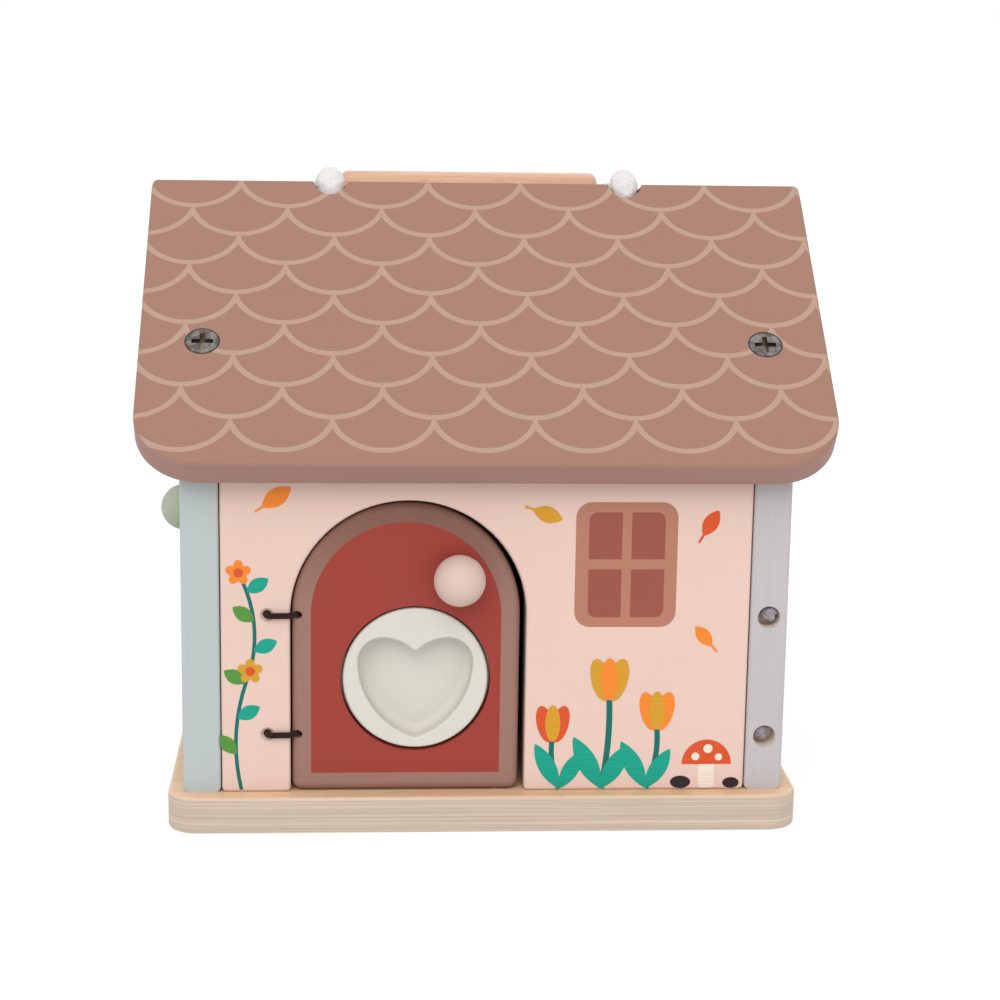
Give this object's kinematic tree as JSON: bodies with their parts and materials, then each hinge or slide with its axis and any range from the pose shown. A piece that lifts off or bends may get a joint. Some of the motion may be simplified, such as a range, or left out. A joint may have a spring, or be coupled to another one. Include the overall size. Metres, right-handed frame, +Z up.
{
  "type": "toy latch house",
  "caption": "Wooden toy house with a pitched roof, cord-hinged arched doors on the front and sides, a turning heart dial that latches the front door and a rope handle.",
  "frame": {"origin": "middle of the base's underside, on the surface that the house stands on", "axes": "+X to the right as seen from the front, +Y to the back, +Z up"},
  "size_m": [0.2202, 0.1957, 0.2045],
  "materials": {
    "pink_paint": "satin paint",
    "sage_paint": "satin paint",
    "lavender_paint": "satin paint",
    "roof_paint": "satin paint with printed scallop lines",
    "birch_ply": "clear satin lacquer",
    "red_door_paint": "satin paint",
    "sage_door_paint": "satin paint",
    "mauve_door_paint": "satin paint",
    "ivory_paint": "satin paint",
    "peach_knob_paint": "satin paint",
    "green_knob_paint": "satin paint",
    "lavender_knob_paint": "satin paint",
    "beech": "clear satin lacquer",
    "steel": "nickel plated",
    "brown_cord": "braided",
    "white_elastic": "braided elastic",
    "white_rope": "braided cotton"
  },
  "bodies": {
    "house": {"base_board": "birch_ply", "front_panel": "pink_paint", "back_panel": "pink_paint", "left_wall": "sage_paint", "right_wall": "lavender_paint", "front_roof_board": "roof_paint", "back_roof_board": "roof_paint", "roof_screws": "steel", "base_screws": "steel", "wall_dowels": "beech", "front_hinge_cord_upper": "brown_cord", "front_hinge_cord_lower": "brown_cord", "left_hinge_cord_upper": "white_elastic", "left_hinge_cord_lower": "white_elastic", "right_hinge_cord_upper": "white_elastic", "right_hinge_cord_lower": "white_elastic"},
    "front_door": {"front_door": "red_door_paint", "front_knob": "peach_knob_paint", "front_knob_screw": "steel", "dial_retaining_ring": "beech", "ring_screws": "steel"},
    "heart_dial": {"heart_dial": "ivory_paint", "latch_tongue": "beech", "tongue_screws": "steel"},
    "left_door": {"left_door": "sage_door_paint", "left_knob": "green_knob_paint", "left_knob_screw": "steel"},
    "right_door": {"right_door": "mauve_door_paint", "right_knob": "lavender_knob_paint", "right_knob_screw": "steel"},
    "handle": {"handle_rope": "white_rope"},
    "grip": {"handle_grip": "beech"}
  },
  "joints": [
    {"name": "front_door_hinge", "type": "hinge", "parent": "house", "child": "front_door", "pos_m": [-0.06165, -0.08515, 0], "axis": [0, 0, -1], "range_deg": [0, 110], "deforming": ["front_hinge_cord_upper", "front_hinge_cord_lower"]},
    {"name": "heart_dial_turn", "type": "hinge", "parent": "front_door", "child": "heart_dial", "pos_m": [-0.02239, -0.084, 0.04943], "axis": [0, 1, 0], "range_deg": [0, 90]},
    {"name": "left_door_hinge", "type": "hinge", "parent": "house", "child": "left_door", "pos_m": [-0.0963, 0.07075, 0], "axis": [0, 0, -1], "range_deg": [0, 110], "deforming": ["left_hinge_cord_upper", "left_hinge_cord_lower"]},
    {"name": "right_door_hinge", "type": "hinge", "parent": "house", "child": "right_door", "pos_m": [0.0963, -0.05975, 0], "axis": [0, 0, -1], "range_deg": [0, 110], "deforming": ["right_hinge_cord_upper", "right_hinge_cord_lower"]},
    {"name": "handle_swing", "type": "hinge", "parent": "house", "child": "handle", "pos_m": [0, 0, 0.19944], "axis": [1, 0, 0], "range_deg": [0, 105], "deforming": ["handle_rope"]},
    {"name": "grip_spin", "type": "hinge", "parent": "handle", "child": "grip", "pos_m": [0, 0.02372, 0.1925], "axis": [1, 0, 0], "continuous": true}
  ]
}
